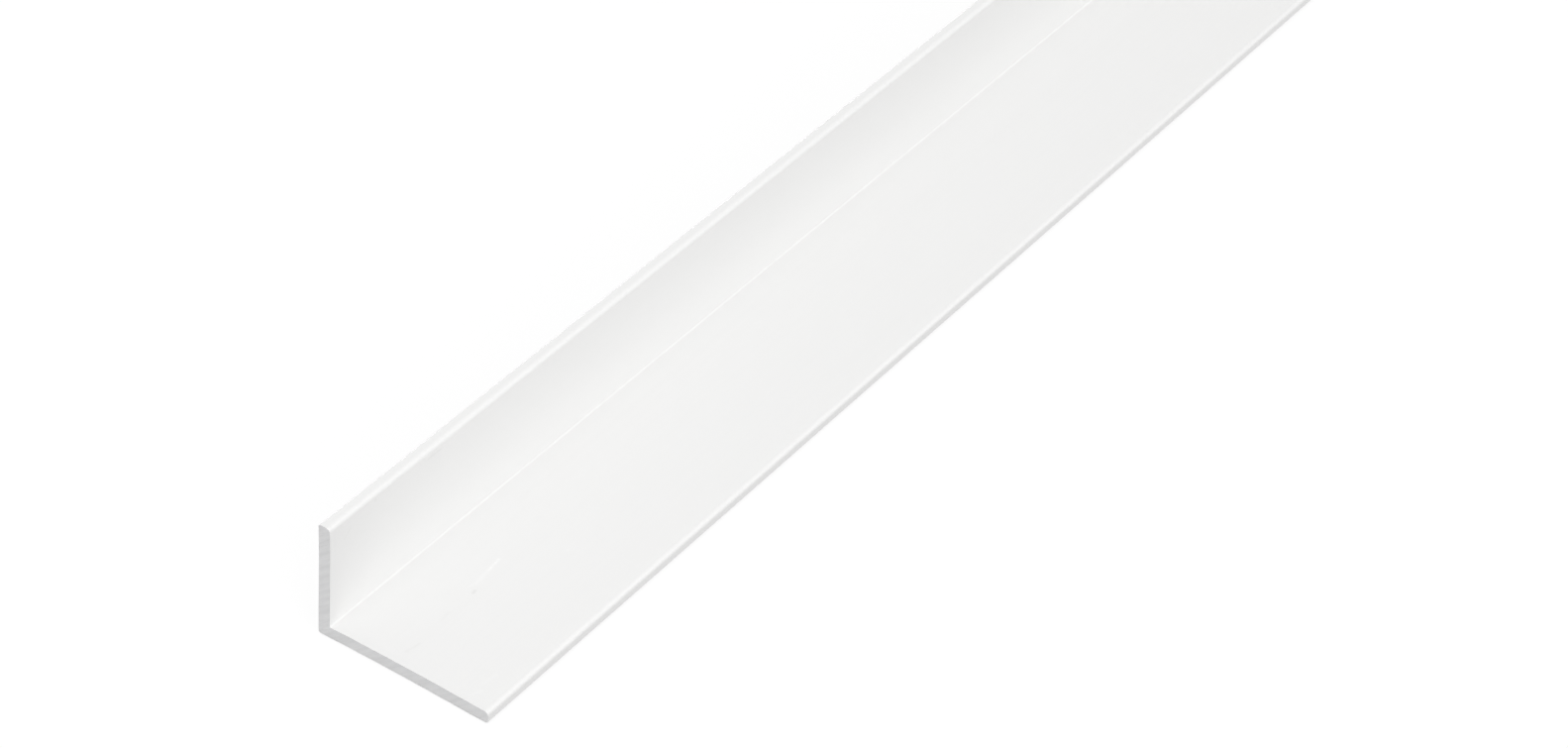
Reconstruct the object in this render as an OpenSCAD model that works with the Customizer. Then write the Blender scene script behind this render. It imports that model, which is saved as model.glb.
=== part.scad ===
// Unequal-leg angle profile in rigid white PVC, extruded in one piece and sawn square at both ends.
// It lies on the outer face of its wide leg: X runs across that leg, Y along the bar and Z up the tall leg.

/* [Section] */
// Width of the lying leg, from the heel to its free edge
wide_leg = 30; // [12:0.5:60]
// Height of the standing leg, from the heel to its free edge
tall_leg = 20; // [12:0.5:60]
// Wall thickness of both legs
wall = 2; // [1.2:0.1:4]

/* [Edges] */
// Radius on the inner side of each leg's free edge, limited by the wall
toe_radius = 0.7; // [0.3:0.05:2]
// Radius on the outer side of each leg's free edge
rim_radius = 0.4; // [0.05:0.05:0.6]
// Radius on the outside of the corner between the legs
heel_radius = 0.4; // [0.1:0.05:1]
// Radius of the fillet inside the corner between the legs
root_radius = 0.3; // [0.1:0.05:3]

/* [Length] */
// Length of the bar as it is sold
bar_length = 1000; // [200:50:2600]

/* [Hidden] */
// Flat that is always left on a free edge between its two radii
least_flat = 0.1;
toe_fit_radius = min(toe_radius, wall - rim_radius - least_flat);
// Facets on a full circle where the arcs are drawn as polygons
$fn = 64;

// The sliver between a square corner at the origin and the arc of radius r that rounds it
module corner_sliver(r) {
    difference() {
        square(r);
        translate([r, r]) circle(r);
    }
}

// Both legs and the fillet between them, with the other edges still square
module square_edged_section() {
    square([wide_leg, wall]);
    square([wall, tall_leg]);
    translate([wall, wall]) corner_sliver(root_radius);
}

// The die's opening: heel at the origin, wide leg along +X, tall leg along +Y
module section() {
    difference() {
        square_edged_section();
        corner_sliver(heel_radius);
        translate([wide_leg, wall]) rotate(180) corner_sliver(toe_fit_radius);
        translate([wall, tall_leg]) rotate(180) corner_sliver(toe_fit_radius);
        translate([wide_leg, 0]) rotate(90) corner_sliver(rim_radius);
        translate([0, tall_leg]) rotate(-90) corner_sliver(rim_radius);
    }
}

// The bar, centred over its length and its wide leg, with that leg's outer face at Z = 0
module angle_profile() {
    color("white")
        translate([-wide_leg / 2, bar_length / 2, 0])
            rotate([90, 0, 0])
                linear_extrude(bar_length)
                    section();
}

angle_profile();
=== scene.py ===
import math
import random
import bmesh
import bpy
from mathutils import Matrix, Vector


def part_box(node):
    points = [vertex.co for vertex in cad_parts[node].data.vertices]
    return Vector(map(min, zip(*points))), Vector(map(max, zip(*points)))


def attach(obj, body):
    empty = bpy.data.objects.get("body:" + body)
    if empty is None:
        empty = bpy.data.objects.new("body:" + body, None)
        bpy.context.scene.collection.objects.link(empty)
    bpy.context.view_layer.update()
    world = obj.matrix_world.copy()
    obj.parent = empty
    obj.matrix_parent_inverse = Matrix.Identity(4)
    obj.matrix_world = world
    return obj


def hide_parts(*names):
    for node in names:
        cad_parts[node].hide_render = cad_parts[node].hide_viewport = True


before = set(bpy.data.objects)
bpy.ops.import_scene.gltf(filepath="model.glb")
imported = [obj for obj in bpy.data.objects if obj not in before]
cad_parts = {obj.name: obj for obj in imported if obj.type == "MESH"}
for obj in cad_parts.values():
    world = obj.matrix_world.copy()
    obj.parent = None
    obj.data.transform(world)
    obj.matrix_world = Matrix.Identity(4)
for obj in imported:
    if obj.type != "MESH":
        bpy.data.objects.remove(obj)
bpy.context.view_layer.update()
barLow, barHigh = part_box("angle_profile")
millimetre = 0.001
noiseMiddle = 0.5  # a noise texture's mean value
print("frame loaded, bar", [round(side, 4) for side in barHigh - barLow])


class Shade:
    # One output socket of a material's nodes. Sums on it add Math nodes.
    def __init__(self, tree, socket=None):
        self.tree = tree
        self.socket = socket

    def add(self, kind, settings, sockets, out=0):
        node = self.tree.nodes.new("ShaderNode" + kind)
        for name, value in settings.items():
            setattr(node, name, value)
        for key, value in sockets.items():
            if isinstance(value, Shade):
                self.tree.links.new(value.socket, node.inputs[key])
            else:
                node.inputs[key].default_value = value
        return Shade(self.tree, node.outputs[out] if node.outputs else None)

    def math(self, operation, *values):
        return self.add("Math", {"operation": operation}, dict(enumerate(values)))

    def vector(self, operation, *values, out=0):
        return self.add("VectorMath", {"operation": operation}, dict(enumerate(values)), out)

    def fade(self, start, stop):  # 0 at start, 1 at stop, eased between
        settings = {"interpolation_type": "SMOOTHSTEP"}
        return self.add("MapRange", settings, {"Value": self, "From Min": start, "From Max": stop})

    def __add__(self, other):
        return self.math("ADD", self, other)

    def __radd__(self, other):
        return self.math("ADD", other, self)

    def __sub__(self, other):
        return self.math("SUBTRACT", self, other)

    def __rsub__(self, other):
        return self.math("SUBTRACT", other, self)

    def __mul__(self, other):
        return self.math("MULTIPLY", self, other)

    def __rmul__(self, other):
        return self.math("MULTIPLY", other, self)


def newMaterial(name):
    material = bpy.data.materials.new(name)
    material.use_nodes = True
    material.node_tree.nodes.clear()
    return material, Shade(material.node_tree)


def mixColour(shade, factor, first, second):
    return shade.add("Mix", {"data_type": "RGBA"}, {0: factor, 6: first, 7: second}, out=2)


def scaleVector(shade, vector, factor):
    return shade.add("VectorMath", {"operation": "SCALE"}, {0: vector, "Scale": factor})


def placeInMillimetres(shade):
    metres = shade.add("TexCoord", {}, {}, out="Object")
    return scaleVector(shade, metres, 1 / millimetre)


# Satin skin that the die leaves: faint lines along the bar and a fine grain. Lengths in millimetres
extrudedSkin = {
    "colour": (0.880, 0.879, 0.874, 1.0),
    "lineColour": (0.866, 0.865, 0.860, 1.0),  # the two blend along the lines
    "rubbedColour": (0.96, 0.96, 0.955, 1.0),
    "grimeColour": (0.40, 0.40, 0.39, 1.0),
    "roughness": 0.20,
    "ior": 1.53,
    "dieLineWidth": 0.6,
    "dieLineLength": 250.0,
    "dieLineDetail": 3.0,
    "dieLineHeight": 0.012,
    "dieLineRough": 0.10,
    "grainSize": 0.4,
    "grainDetail": 2.0,
    "grainHeight": 0.002,
    "grainRough": 0.06,
    "rubbedRough": 0.2,
    "grimeDepth": 0.06,
    "bumpStrength": 0.15,
    "wobble": 0.35,  # how ragged the marks are
    "wobbleSize": 0.5,
}

# Marks of handling by the near end, where the skin is rubbed pale
rubbedMarks = {
    "streak": {"start": (-3.4, -473.6, 2), "stop": (-3.1, -476.4, 2), "width": 0.45, "strength": 0.42},
    "streakTail": {"start": (-3.1, -476.4, 2), "stop": (-2.8, -479.7, 2), "width": 0.55, "strength": 0.26},
    "streakEnd": {"start": (-3.0, -480.4, 2), "stop": (-3.1, -480.7, 2), "width": 0.4, "strength": 0.24},
    "tipScratch": {"start": (11.1, -493.2, 2), "stop": (10.9, -495.5, 2), "width": 0.5, "strength": 0.16},
    "tipEnd": {"start": (11.5, -496.9, 2), "stop": (10.9, -498.9, 2), "width": 0.5, "strength": 0.16},
    "spot": {"start": (3.1, -465.8, 2), "stop": (3.1, -466.0, 2), "width": 0.4, "strength": 0.2},
}

# The same, where dirt has stayed
grimeMarks = {
    "pit": {"start": (-1.9, -481.1, 2), "stop": (-1.8, -481.7, 2), "width": 0.4, "strength": 0.16},
    "rootScratch": {"start": (-1.1, -494.7, 2), "stop": (-1.5, -497.2, 2), "width": 0.35, "strength": 0.05},
    "faintRub": {"start": (-2.0, -487.1, 2), "stop": (-1.7, -488.9, 2), "width": 0.5, "strength": 0.03},
    "smudge": {"start": (-13, -475.3, 18.6), "stop": (-13, -478.0, 18.5), "width": 0.45, "strength": 0.07},
    "speck": {"start": (-13, -489.9, 18.7), "stop": (-13, -490.0, 18.7), "width": 0.4, "strength": 0.10},
    "lowSpeck": {"start": (-13, -495.6, 17.2), "stop": (-13, -496.8, 16.2), "width": 0.4, "strength": 0.04},
}


def markMask(place, marks):
    # Strength of the strongest mark at each place, fading out at the mark's width
    strongest = 0.0
    for mark in marks.values():
        start = Vector(mark["start"])
        run = Vector(mark["stop"]) - start
        reach = place.vector("SUBTRACT", place, start)
        share = place.vector("DOT_PRODUCT", reach, run / run.length_squared, out="Value")
        held = share.math("MINIMUM", share.math("MAXIMUM", share, 0.0), 1.0)
        away = place.vector("DISTANCE", reach, scaleVector(place, run, held), out="Value")
        strength = away.fade(mark["width"], 0.0) * mark["strength"]
        strongest = place.math("MAXIMUM", strength, strongest)
    return strongest


def skinMaterial(look):
    material, shade = newMaterial("extrudedPvc")
    place = placeInMillimetres(shade)
    across = 1 / look["dieLineWidth"]
    along = 1 / look["dieLineLength"]
    drawnOut = shade.add("Mapping", {}, {"Vector": place, "Scale": (across, along, across)})
    lines = {"Vector": drawnOut, "Scale": 1.0, "Detail": look["dieLineDetail"]}
    dieLines = shade.add("TexNoise", {}, lines)
    grains = {"Vector": place, "Scale": 1 / look["grainSize"], "Detail": look["grainDetail"]}
    grain = shade.add("TexNoise", {}, grains)
    ripple = shade.add("TexNoise", {}, {"Vector": place, "Scale": 1 / look["wobbleSize"]}, out="Color")
    centred = shade.vector("SUBTRACT", ripple, [noiseMiddle] * 3)
    ragged = shade.vector("ADD", place, scaleVector(shade, centred, look["wobble"]))
    rubbed = markMask(ragged, rubbedMarks)
    grime = markMask(ragged, grimeMarks)
    clean = mixColour(shade, dieLines, look["colour"], look["lineColour"])
    paled = mixColour(shade, rubbed, clean, look["rubbedColour"])
    colour = mixColour(shade, grime, paled, look["grimeColour"])
    lineRough = (dieLines - noiseMiddle) * look["dieLineRough"]
    grainRough = (grain - noiseMiddle) * look["grainRough"]
    roughness = look["roughness"] + lineRough + grainRough + rubbed * look["rubbedRough"]
    relief = dieLines * look["dieLineHeight"] + grain * look["grainHeight"] - grime * look["grimeDepth"]
    lumps = {"Strength": look["bumpStrength"], "Distance": millimetre, "Height": relief}
    bump = shade.add("Bump", {}, lumps)
    surface = {"Base Color": colour, "Roughness": roughness, "IOR": look["ior"], "Normal": bump}
    skin = shade.add("BsdfPrincipled", {}, surface)
    shade.add("OutputMaterial", {}, {"Surface": skin})
    return material


# Sawn ends: duller and a little greyer than the skin, streaked the way the saw went. Lengths in millimetres
sawnEnd = {
    "colour": (0.894, 0.894, 0.898, 1.0),
    "tornColour": (0.820, 0.820, 0.825, 1.0),  # the two blend across the streaks
    "roughness": 0.62,
    "ior": 1.53,
    "streakLength": 9.0,
    "streakWidth": 0.7,
    "streakDetail": 3.0,
    "streakRaggedness": 0.65,
    "streakRange": (0.32, 0.68),  # part of the noise that the two colours share
    "grainSize": 0.18,
    "grainDetail": 3.0,
    "grainHeight": 0.04,
    "grainRough": 0.15,
    "bumpStrength": 0.4,
}


def sawnMaterial(look, sawAngle):
    material, shade = newMaterial("sawnPvc")
    place = placeInMillimetres(shade)
    turn = (0, -math.radians(sawAngle), 0)
    stretch = (look["streakLength"], 1.0, look["streakWidth"])
    sawn = {"Vector": place, "Rotation": turn, "Scale": stretch}
    drawnOut = shade.add("Mapping", {"vector_type": "TEXTURE"}, sawn)  # turned first, then stretched
    strokes = {"Vector": drawnOut, "Scale": 1.0, "Detail": look["streakDetail"]}
    strokes["Roughness"] = look["streakRaggedness"]
    streaks = shade.add("TexNoise", {}, strokes).fade(*look["streakRange"])
    grains = {"Vector": place, "Scale": 1 / look["grainSize"], "Detail": look["grainDetail"]}
    grain = shade.add("TexNoise", {}, grains)
    colour = mixColour(shade, streaks, look["colour"], look["tornColour"])
    roughness = look["roughness"] + (grain - noiseMiddle) * look["grainRough"]
    relief = grain * look["grainHeight"]
    lumps = {"Strength": look["bumpStrength"], "Distance": millimetre, "Height": relief}
    bump = shade.add("Bump", {}, lumps)
    surface = {"Base Color": colour, "Roughness": roughness, "IOR": look["ior"], "Normal": bump}
    face = shade.add("BsdfPrincipled", {}, surface)
    shade.add("OutputMaterial", {}, {"Surface": face})
    return material


# The bar, modelled in millimetres and made metres at the end
angleBar = {
    "wall": 2.0,
    "toeRadius": 0.7,  # inner side of each free edge
    "rimRadius": 0.4,  # outer side of each free edge
    "heelRadius": 0.4,
    "rootRadius": 0.3,
    "arcSteps": 10,
    "arcProfile": 0.5,  # a bevel of this profile is round
    "flatWeight": 100,  # how much the flats outweigh the arcs in the normals
    "sawnBreak": 0.05,  # tiny chamfer round each sawn end
    "sawPitch": (0.25, 0.9),  # least and greatest step between saw marks
    "sawAngle": 40,  # degrees from the wide leg
    "sawDepth": 0.03,
    "sawSeed": 5,
    "slack": 0.0001,  # points closer than this are one
    "facing": 0.95,  # least cosine at which a face looks along the bar
}


def roundLongEdge(bm, x, z, radius, look):
    chosen = []
    for edge in bm.edges:
        away = [math.hypot(vert.co.x - x, vert.co.z - z) for vert in edge.verts]
        if max(away) < look["slack"]:
            chosen.append(edge)
    bmesh.ops.bevel(bm, geom=chosen, offset=radius, offset_type="OFFSET", segments=look["arcSteps"],
                    profile=look["arcProfile"], affect="EDGES", material=-1, clamp_overlap=False)


def facesAlong(bm, end, look):
    return [face for face in bm.faces if face.normal.y * end > look["facing"]]


def sawEnd(bm, end, look, wide, tall, draws):
    # end is -1 at the near end and 1 at the far one; the marks only cut into the bar
    faces = facesAlong(bm, end, look)
    rim = bmesh.ops.inset_region(bm, faces=faces, thickness=look["sawnBreak"], depth=look["sawnBreak"] / 2)
    for face in faces + rim["faces"]:
        face.material_index = 1
    tilt = math.radians(look["sawAngle"])
    normal = Vector((-math.sin(tilt), 0, math.cos(tilt)))
    step = normal.x * wide
    while step < normal.z * tall:
        cut = facesAlong(bm, end, look)
        edges = dict.fromkeys(edge for face in cut for edge in face.edges)
        verts = dict.fromkeys(vert for face in cut for vert in face.verts)
        origin = Vector((-wide / 2, 0, 0)) + normal * step
        made = bmesh.ops.bisect_plane(bm, geom=[*cut, *edges, *verts], dist=look["slack"],
                                      plane_co=origin, plane_no=normal)
        depth = draws.uniform(0, look["sawDepth"])
        for item in made["geom_cut"]:
            if isinstance(item, bmesh.types.BMVert):
                item.co.y -= end * depth
        step += draws.uniform(*look["sawPitch"])


def makeAngleBar(look):
    wide, length, tall = (barHigh - barLow) / millimetre
    half = wide / 2
    wall = look["wall"]
    outline = [(-half, 0), (half, 0), (half, wall), (wall - half, wall), (wall - half, tall), (-half, tall)]
    radii = ("heelRadius", "rimRadius", "toeRadius", "rootRadius", "toeRadius", "rimRadius")
    body = length - look["sawnBreak"]  # the chamfers at both ends make up the rest
    bm = bmesh.new()
    corners = [bm.verts.new((x, -body / 2, z)) for x, z in outline]
    section = bm.faces.new(corners)
    run = bmesh.ops.extrude_face_region(bm, geom=[section])
    moved = [item for item in run["geom"] if isinstance(item, bmesh.types.BMVert)]
    bmesh.ops.translate(bm, verts=moved, vec=(0, body, 0))
    bmesh.ops.recalc_face_normals(bm, faces=bm.faces)
    for (x, z), radius in zip(outline, radii):
        roundLongEdge(bm, x, z, look[radius], look)
    bm.normal_update()
    draws = random.Random(look["sawSeed"])
    for end in (-1, 1):
        sawEnd(bm, end, look, wide, tall, draws)
    for face in bm.faces:
        face.smooth = face.material_index == 0
    bmesh.ops.scale(bm, verts=bm.verts, vec=[millimetre] * 3)
    bm.normal_update()
    mesh = bpy.data.meshes.new("angleBar")
    bm.to_mesh(mesh)
    bm.free()
    bar = bpy.data.objects.new("angleBar", mesh)
    bpy.context.collection.objects.link(bar)
    mesh.materials.append(skinMaterial(extrudedSkin))
    mesh.materials.append(sawnMaterial(sawnEnd, look["sawAngle"]))
    weighted = bar.modifiers.new("tangentNormals", "WEIGHTED_NORMAL")  # flats stay flat beside the arcs
    weighted.mode = "FACE_AREA"
    weighted.weight = look["flatWeight"]
    return bar


bar = makeAngleBar(angleBar)
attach(bar, "root")
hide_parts("angle_profile")
print("bar made,", len(bar.data.polygons), "faces")


# White sweep: seen as white by the camera, while the bar gets only what a pale floor sends back
studioFloor = {
    "side": 12.0,
    "drop": 0.0002,  # just under the bar
    "bounceColour": (0.31, 0.31, 0.31, 1.0),
    "shownColour": (0.18, 0.18, 0.18, 1.0),  # takes the bar's shadow
    "shownGlow": 0.84,
}


def seenDirectly(shade):
    # 1 where the camera looks: straight, in a reflection or through glass
    seen = 0.0
    for ray in ("Is Camera Ray", "Is Glossy Ray", "Is Transmission Ray"):
        seen = shade.math("MAXIMUM", shade.add("LightPath", {}, {}, out=ray), seen)
    return seen


def makeFloor(look):
    material, shade = newMaterial("sweep")
    lit = shade.add("BsdfDiffuse", {}, {"Color": look["bounceColour"]})
    shaded = shade.add("BsdfDiffuse", {}, {"Color": look["shownColour"]})
    glow = shade.add("Emission", {}, {"Color": (1, 1, 1, 1), "Strength": look["shownGlow"]})
    white = shade.add("AddShader", {}, {0: shaded, 1: glow})
    mixed = shade.add("MixShader", {}, {0: seenDirectly(shade), 1: lit, 2: white})
    shade.add("OutputMaterial", {}, {"Surface": mixed})
    bm = bmesh.new()
    bmesh.ops.create_grid(bm, x_segments=1, y_segments=1, size=look["side"] / 2)
    bmesh.ops.translate(bm, verts=bm.verts, vec=(0, 0, barLow.z - look["drop"]))
    mesh = bpy.data.meshes.new("floor")
    bm.to_mesh(mesh)
    bm.free()
    mesh.materials.append(material)
    floor = bpy.data.objects.new("floor", mesh)
    bpy.context.collection.objects.link(floor)
    return floor


floor = makeFloor(studioFloor)

# Soft light: an even room, lamps at the side, in front and above the near end, a large one behind that draws
# the bright edges, and a low strip on the left that keeps the tall leg's outer face from going grey
studioLight = {
    "room": 0.70,
    "lamps": {
        "side": {"at": (1.94, -1.06, 0.81), "to": (0.0, -0.4, 0.0), "size": (1.6, 1.2), "power": 10.7},
        "front": {"at": (0.2, -1.5, 0.9), "to": (0.0, -0.48, 0.0), "size": (1.3, 1.3), "power": 4.0},
        "above": {"at": (0.25, -0.75, 1.0), "to": (0.0, -0.5, 0.0), "size": (0.8, 0.8), "power": 1.1},
        "behind": {"at": (2.87, 1.83, 1.9), "to": (0.0, -0.3, 0.0), "size": (2.55, 3.6), "power": 17.6},
        "left": {"at": (-2.2, 0.9, 0.15), "to": (0.0, 0.0, 0.01), "size": (3.0, 0.2), "power": 14.0},
    },
}


def makeLight(look):
    world = bpy.data.worlds.new("room")
    bpy.context.scene.world = world
    world.use_nodes = True
    world.node_tree.nodes.clear()
    shade = Shade(world.node_tree)
    strength = look["room"] + seenDirectly(shade) * (1 - look["room"])
    room = shade.add("Background", {}, {"Color": (1, 1, 1, 1), "Strength": strength})
    shade.add("OutputWorld", {}, {"Surface": room})
    for name, lamp in look["lamps"].items():
        data = bpy.data.lights.new(name, "AREA")
        data.shape = "RECTANGLE"
        data.size, data.size_y = lamp["size"]
        data.energy = lamp["power"]
        lampObject = bpy.data.objects.new(name, data)
        lampObject.location = lamp["at"]
        aim = Vector(lamp["to"]) - Vector(lamp["at"])
        lampObject.rotation_euler = aim.to_track_quat("-Z", "Y").to_euler()
        bpy.context.collection.objects.link(lampObject)


makeLight(studioLight)
print("floor and light set")

# The photograph's own viewpoint: angles in degrees, lens and sensor in millimetres, place in metres
photoCamera = {
    "azimuth": 31.770,
    "elevation": 38.601,
    "roll": 4.707,
    "lens": 102.895,
    "sensor": 36.0,
    "at": (0.28352, -0.86382, 0.42551),
}


def makeCamera(look):
    data = bpy.data.cameras.new("camera")
    data.lens = look["lens"]
    data.sensor_width = look["sensor"]
    camera = bpy.data.objects.new("camera", data)
    turn = Matrix.Rotation(math.radians(look["azimuth"]), 4, "Z")
    tip = Matrix.Rotation(math.radians(90 - look["elevation"]), 4, "X")
    roll = Matrix.Rotation(math.radians(look["roll"]), 4, "Z")
    camera.matrix_world = Matrix.Translation(look["at"]) @ turn @ tip @ roll
    bpy.context.collection.objects.link(camera)
    bpy.context.scene.camera = camera


makeCamera(photoCamera)
bpy.context.scene.view_settings.view_transform = "Standard"
print("camera set")
